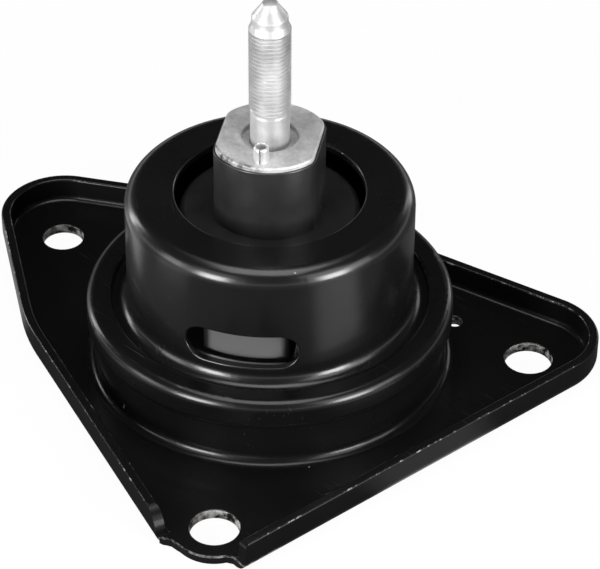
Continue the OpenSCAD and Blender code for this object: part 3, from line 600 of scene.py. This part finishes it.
def arc(centre_r, centre_z, radius, start, end, count):
    """Points of an arc in an outline. The angles are in degrees, from +X towards +Z."""
    step = (end - start) / count
    angles = [math.radians(start + step * i) for i in range(count + 1)]
    return [(centre_r + radius * math.cos(a), centre_z + radius * math.sin(a)) for a in angles]


def ease_edges(bm, edges, width, segments=2):
    """Rounds the given edges."""
    bmesh.ops.bevel(bm, geom=edges, offset=width * MM, offset_type="OFFSET", segments=segments, profile=0.5,
                    affect="EDGES", clamp_overlap=False, material=-1)


def sharp_edges(bm, angle):
    """Edges at which the surface turns by more than an angle in degrees."""
    limit = math.radians(angle)
    return [e for e in bm.edges if len(e.link_faces) == 2 and e.calc_face_angle(0.0) > limit]


def finish_piece(bm, name, material, replaced, smooth_angle=35.0):
    """Makes the piece from its mesh, shades it, and sets it on the frame in place of its solid."""
    mesh = bpy.data.meshes.new(name)
    bm.to_mesh(mesh)
    bm.free()
    piece = bpy.data.objects.new(name, mesh)
    bpy.context.scene.collection.objects.link(piece)
    mesh.shade_smooth()
    mesh.set_sharp_from_angle(angle=math.radians(smooth_angle))
    mesh.materials.append(material)
    even = piece.modifiers.new("even normals", "WEIGHTED_NORMAL")
    even.keep_sharp = True
    even.weight = 90
    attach(piece, "root")
    if replaced:
        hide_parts(*replaced)
    return piece


def merged_copy(node):
    """A merged copy of a solid's mesh, with its flat faces joined again."""
    bm = bmesh.new()
    bm.from_mesh(nodes[node].data)
    bmesh.ops.remove_doubles(bm, verts=bm.verts[:], dist=0.001 * MM)
    bmesh.ops.dissolve_limit(bm, angle_limit=math.radians(0.5), use_dissolve_boundaries=False,
                             verts=bm.verts[:], edges=bm.edges[:])
    return bm


def add_thread(bm):
    """The stud's thread: one helical ridge, which runs in at the foot and ends under the cone."""
    steps = 72
    turns = (THREAD_HIGH - THREAD_LOW) / THREAD_PITCH
    flank = 0.47 * THREAD_PITCH
    crest = 0.07 * THREAD_PITCH
    root = THREAD_ROOT_R - 0.12
    section = [(root, -flank), (THREAD_R, -crest), (THREAD_R, crest), (root, flank)]
    before = set(bm.verts)
    verts = [bm.verts.new((r * MM, 0.0, (THREAD_LOW + z) * MM)) for r, z in section]
    face = bm.faces.new(verts)
    count = int(turns * steps)
    bmesh.ops.spin(bm, geom=verts + list(face.edges) + [face], cent=(0, 0, 0), axis=(0, 0, 1),
                   angle=math.tau * count / steps, steps=count, dvec=(0, 0, THREAD_PITCH * MM / steps))
    ridge = [v for v in bm.verts if v not in before]
    open_edges = [e for e in bm.edges if len(e.link_faces) == 1]
    bmesh.ops.holes_fill(bm, edges=open_edges, sides=8)
    for v in ridge:
        height = v.co.z / MM - THREAD_LOW
        if height < 2.0:
            limit = THREAD_ROOT_R - 0.1 + 0.75 * max(0.0, height) / 1.2
            reach = math.hypot(v.co.x, v.co.y) / MM
            if reach > limit:
                v.co.x *= limit / reach
                v.co.y *= limit / reach


def make_stud():
    """The stud: foot in the boss, plain shank, thread, cone and pilot point."""
    bm = bmesh.new()
    cone_low = THREAD_HIGH - 0.3
    turn(bm, [(0.0, STUD_FOOT), (4.95, STUD_FOOT), (5.95, STUD_FOOT + 1.0), (5.95, BOSS_TOP - 1.9),
              (SHANK_R, BOSS_TOP - 1.3), (SHANK_R, THREAD_LOW - 0.7), (SHANK_R - 0.12, THREAD_LOW - 0.3),
              (THREAD_ROOT_R, THREAD_LOW + 0.5), (THREAD_ROOT_R, cone_low),
              (THREAD_R - 0.12, cone_low + 0.02),
              (THREAD_R, cone_low + 0.14), (THREAD_R - 0.03, cone_low + 0.32), (PILOT_R + 0.1, 117.2),
              (PILOT_R, 117.5), (PILOT_R, 119.0), (PILOT_R - 0.03, 119.3), (PILOT_R - 0.2, 119.62),
              (2.55, 122.8), (2.35, 123.3), (2.15, STUD_TOP - 0.12), (1.9, STUD_TOP), (0.0, STUD_TOP)])
    add_thread(bm)
    bmesh.ops.recalc_face_normals(bm, faces=bm.faces[:])
    finish_piece(bm, "stud_with_thread", STUD_METAL, ["mounting_stud"])


def make_pin():
    """The spring pin: a rolled tube with a slot towards the front and chamfered ends."""
    low = BOSS_TOP + PIN_STAND - PIN_LENGTH
    high = BOSS_TOP + PIN_STAND
    half_slot = math.asin(0.22 / PIN_R)
    bm = bmesh.new()
    ring = [(PIN_R - 0.75, low), (PIN_R - 0.4, low), (PIN_R, low + 1.0), (PIN_R, high - 1.0),
            (PIN_R - 0.1, high - 0.45), (PIN_R - 0.32, high - 0.06), (PIN_R - 0.45, high),
            (PIN_R - 0.65, high - 0.04), (PIN_R - 0.75, high - 0.2)]
    verts = [bm.verts.new((r * MM, 0.0, z * MM)) for r, z in ring]
    face = bm.faces.new(verts)
    bmesh.ops.spin(bm, geom=verts + list(face.edges) + [face], cent=(0, 0, 0), axis=(0, 0, 1),
                   angle=math.tau - 2.0 * half_slot, steps=48, dvec=(0, 0, 0))
    bmesh.ops.holes_fill(bm, edges=[e for e in bm.edges if len(e.link_faces) == 1], sides=12)
    bmesh.ops.rotate(bm, verts=bm.verts[:], cent=(0, 0, 0),
                     matrix=Matrix.Rotation(half_slot - math.pi / 2.0, 3, "Z"))
    bmesh.ops.translate(bm, verts=bm.verts[:], vec=(0.0, PIN_Y * MM, 0.0))
    bmesh.ops.recalc_face_normals(bm, faces=bm.faces[:])
    ends = [e for e in sharp_edges(bm, 70.0)]
    ease_edges(bm, ends, 0.06)
    finish_piece(bm, "slotted_pin", PIN_METAL, ["locating_pin"], 40.0)


def make_can():
    """The can with eased edges round its window, its hole and its foot."""
    bm = merged_copy("upper_cover")
    window = [e for e in sharp_edges(bm, 40.0)
              if 28.0 < e.verts[0].co.z / MM < 41.0 and 28.0 < e.verts[1].co.z / MM < 41.0]
    ease_edges(bm, window, 0.45, 3)
    ease_edges(bm, [e for e in sharp_edges(bm, 60.0)], 0.15)
    finish_piece(bm, "can", CAN_COAT, ["upper_cover"])


def double_d(bm, reach, flat, corner, height):
    """A closed loop round the boss: a circle with two flats and rounded corners between them."""
    along = math.sqrt((reach - corner) ** 2 - (flat - corner) ** 2)
    lean = math.degrees(math.atan2(along, flat - corner))
    points = arc(flat - corner, along, corner, 0.0, lean, 8)
    points += arc(0.0, 0.0, reach, lean, 180.0 - lean, 40)[1:-1]
    points += arc(corner - flat, along, corner, 180.0 - lean, 180.0, 8)
    points += [(-x, -y) for x, y in points]
    verts = [bm.verts.new((x * MM, y * MM, height * MM)) for x, y in points]
    return [bm.edges.new(pair) for pair in zip(verts, verts[1:] + verts[:1])]


def drop_edges(bm, edges, height):
    """Draws walls from the edges down or up to a height and gives the walls' far edges."""
    made = bmesh.ops.extrude_edge_only(bm, edges=edges)["geom"]
    for item in made:
        if isinstance(item, bmesh.types.BMVert):
            item.co.z = height * MM
    return [item for item in made if isinstance(item, bmesh.types.BMEdge)
            and all(abs(v.co.z - height * MM) < 1e-7 for v in item.verts)]


def cut_above(bm, height):
    """Cuts a mesh off at a height and closes it there."""
    cut = bmesh.ops.bisect_plane(bm, geom=bm.verts[:] + bm.edges[:] + bm.faces[:], dist=1e-7,
                                 plane_co=(0, 0, height * MM), plane_no=(0, 0, 1), clear_outer=True)
    rims = [item for item in cut["geom_cut"] if isinstance(item, bmesh.types.BMEdge)]
    bmesh.ops.triangle_fill(bm, use_beauty=True, edges=rims, normal=(0, 0, 1))


def make_core():
    """The cast core: its arms as built, and its boss with eased corners and an eased upper edge."""
    bm = merged_copy("inner_core")
    cut_above(bm, BOSS_CUT)
    outer = double_d(bm, BOSS_R, BOSS_FLAT, BOSS_CORNER, BOSS_TOP)
    ring = bmesh.ops.create_circle(bm, cap_ends=False, segments=96, radius=COUNTERBORE_R * MM,
                                   matrix=Matrix.Translation((0, 0, BOSS_TOP * MM)))["verts"]
    inner = list({e for v in ring for e in v.link_edges})
    bmesh.ops.triangle_fill(bm, use_beauty=True, edges=outer + inner, normal=(0, 0, 1))
    foot = drop_edges(bm, outer, BOSS_CUT - 0.5)
    well = drop_edges(bm, inner, BOSS_TOP - COUNTERBORE_DEPTH)
    bmesh.ops.holes_fill(bm, edges=foot, sides=0)
    bmesh.ops.holes_fill(bm, edges=well, sides=0)
    bmesh.ops.recalc_face_normals(bm, faces=bm.faces[:])
    top = [e for e in sharp_edges(bm, 60.0) if all(v.co.z > (BOSS_TOP - 0.01) * MM for v in e.verts)]
    ease_edges(bm, top, 0.5, 3)
    finish_piece(bm, "cast_core", CORE_METAL, ["inner_core"])


def make_spring():
    """The rubber spring: its body as built, and the sleeve round the boss with eased corners."""
    bm = merged_copy("main_spring")
    cut_above(bm, SLEEVE_CUT)
    outer = double_d(bm, BOSS_R + SLEEVE_T, BOSS_FLAT + SLEEVE_T, BOSS_CORNER + SLEEVE_T, SLEEVE_TOP)
    inner = double_d(bm, BOSS_R - 0.3, BOSS_FLAT - 0.3, BOSS_CORNER - 0.3, SLEEVE_TOP)
    bmesh.ops.triangle_fill(bm, use_beauty=True, edges=outer + inner, normal=(0, 0, 1))
    foot = drop_edges(bm, outer, SLEEVE_CUT - 0.5) + drop_edges(bm, inner, SLEEVE_CUT - 0.5)
    bmesh.ops.triangle_fill(bm, use_beauty=True, edges=foot, normal=(0, 0, -1))
    bmesh.ops.recalc_face_normals(bm, faces=bm.faces[:])
    top = [e for e in sharp_edges(bm, 60.0) if all(v.co.z > (SLEEVE_TOP - 0.01) * MM for v in e.verts)]
    ease_edges(bm, top, 0.25, 3)
    finish_piece(bm, "rubber_spring", SPRING_RUBBER, ["main_spring"], 30.0)


# Stage, light and camera.

def seen_rays(tree, x, y):
    """Rays that see the background: the camera's, and those that gloss and glass throw."""
    rays = put(tree, "ShaderNodeLightPath", x, y)
    glossy = math_node(tree, x + 180, y, "MAXIMUM", rays.outputs["Is Glossy Ray"],
                       rays.outputs["Is Transmission Ray"])
    return rays.outputs["Is Camera Ray"], glossy


def white_cards(tree, place):
    """A mask of all the cards that lie on the floor."""
    cards = []
    for number, (azimuth, half, near) in enumerate(CARDS):
        angle = math.radians(azimuth)
        card = place_group(tree, CARD, -1000, -300 - 220 * number,
                           {"Toward": (math.sin(angle), -math.cos(angle), 0.0),
                            "Edge": math.cos(math.radians(half * 1.25)),
                            "Full": math.cos(math.radians(half * 0.7)), "Near": near})
        tree.links.new(place, card.inputs["Vector"])
        cards.append(card.outputs["Mask"])
    return largest(tree, -760, -300, cards)


def make_floor():
    """A plain pale floor, seen as white, that keeps the object's shadow."""
    bm = bmesh.new()
    bmesh.ops.create_grid(bm, x_segments=1, y_segments=1, size=4.0)
    mesh = bpy.data.meshes.new("floor")
    bm.to_mesh(mesh)
    bm.free()
    floor = bpy.data.objects.new("floor", mesh)
    bpy.context.scene.collection.objects.link(floor)
    material = bpy.data.materials.new("floor")
    material.use_nodes = True
    tree = material.node_tree
    tree.nodes.clear()
    camera, glossy = seen_rays(tree, -800, 200)
    direct = math_node(tree, -400, 300, "MULTIPLY", camera, FLOOR_WHITE)
    place = put(tree, "ShaderNodeTexCoord", -1200, -300).outputs["Object"]
    paler = between(tree, -560, -100, white_cards(tree, place), 0.0, 1.0, FLOOR_GLOSS, FLOOR_WHITE)
    gloss = math_node(tree, -400, 120, "MULTIPLY", glossy, paler)
    share = math_node(tree, -200, 250, "MAXIMUM", direct, gloss)
    seen_tone = between(tree, -400, -60, camera, 0.0, 1.0, FLOOR_TONE, FLOOR_SEEN_TONE)
    plain = put(tree, "ShaderNodeBsdfDiffuse", -200, 0)
    tree.links.new(seen_tone, plain.inputs["Color"])
    white = put(tree, "ShaderNodeEmission", -200, -200, {"Color": grey(1.0), "Strength": 1.0})
    mixed = put(tree, "ShaderNodeMixShader", 100, 0)
    end = put(tree, "ShaderNodeOutputMaterial", 300, 0)
    join(tree, (share, mixed.inputs["Fac"]), (plain.outputs["BSDF"], mixed.inputs[1]),
         (white.outputs["Emission"], mixed.inputs[2]), (mixed.outputs["Shader"], end.inputs["Surface"]))
    mesh.materials.append(material)
    return floor


def make_world():
    """A dim room with a white backdrop round its foot. The camera sees white all round."""
    world = bpy.data.worlds.new("room")
    world.use_nodes = True
    bpy.context.scene.world = world
    tree = world.node_tree
    tree.nodes.clear()
    camera, glossy = seen_rays(tree, -1000, 300)
    heading = put(tree, "ShaderNodeTexCoord", -1000, 0)
    split = put(tree, "ShaderNodeSeparateXYZ", -800, 0)
    tree.links.new(heading.outputs["Generated"], split.inputs["Vector"])
    backdrop = between(tree, -600, 0, split.outputs["Z"], BACKDROP_LOW, BACKDROP_HIGH, 1.0, 0.0)
    low = math_node(tree, -400, 100, "MULTIPLY", glossy, backdrop)
    seen = math_node(tree, -200, 200, "MAXIMUM", camera, low)
    room = put(tree, "ShaderNodeBackground", -200, 0, {"Color": grey(1.0), "Strength": ROOM_LIGHT})
    white = put(tree, "ShaderNodeBackground", -200, -200, {"Color": grey(1.0), "Strength": 1.0})
    mixed = put(tree, "ShaderNodeMixShader", 100, 0)
    end = put(tree, "ShaderNodeOutputWorld", 300, 0)
    join(tree, (seen, mixed.inputs["Fac"]), (room.outputs["Background"], mixed.inputs[1]),
         (white.outputs["Background"], mixed.inputs[2]), (mixed.outputs["Shader"], end.inputs["Surface"]))


def softbox(name, azimuth, elevation, width, height, power):
    """An area lamp that looks at the part. Azimuth 0 stands in front of it and 90 on its right."""
    lamp = bpy.data.lights.new(name, "AREA")
    lamp.shape = "RECTANGLE"
    lamp.size = width
    lamp.size_y = height
    lamp.energy = power
    a = math.radians(azimuth)
    e = math.radians(elevation)
    target = Vector((0.0, 0.0, LAMP_AIM))
    away = Vector((math.sin(a) * math.cos(e), -math.cos(a) * math.cos(e), math.sin(e)))
    holder = bpy.data.objects.new(name, lamp)
    holder.location = target + away * LAMP_DISTANCE
    holder.rotation_euler = away.to_track_quat("Z", "Y").to_euler()
    bpy.context.scene.collection.objects.link(holder)
    return holder


def make_lights():
    """Soft boxes round the part: low ones at both sides of the camera, fainter high ones, and one above."""
    for place, azimuth, elevation, width, height, power in SOFTBOXES:
        softbox(place + " softbox", azimuth, elevation, width, height, power)


def make_camera():
    """The camera at the photograph's viewing angle, a long lens with the part a little to the left."""
    lens = bpy.data.cameras.new("camera")
    lens.sensor_width = 36.0
    lens.lens = CAMERA_LENS
    lens.shift_x = CAMERA_SHIFT[0]
    lens.shift_y = CAMERA_SHIFT[1]
    lens.clip_start = 0.01
    camera = bpy.data.objects.new("camera", lens)
    camera.location = CAMERA_PLACE
    camera.rotation_euler = (math.radians(90.0 - CAMERA_ELEVATION), 0.0, math.radians(CAMERA_AZIMUTH))
    bpy.context.scene.collection.objects.link(camera)
    bpy.context.scene.camera = camera


bpy.context.scene.view_settings.view_transform = "Standard"
coat_nodes()
make_stud()
make_pin()
make_can()
make_core()
make_spring()
make_floor()
make_world()
make_lights()
make_camera()
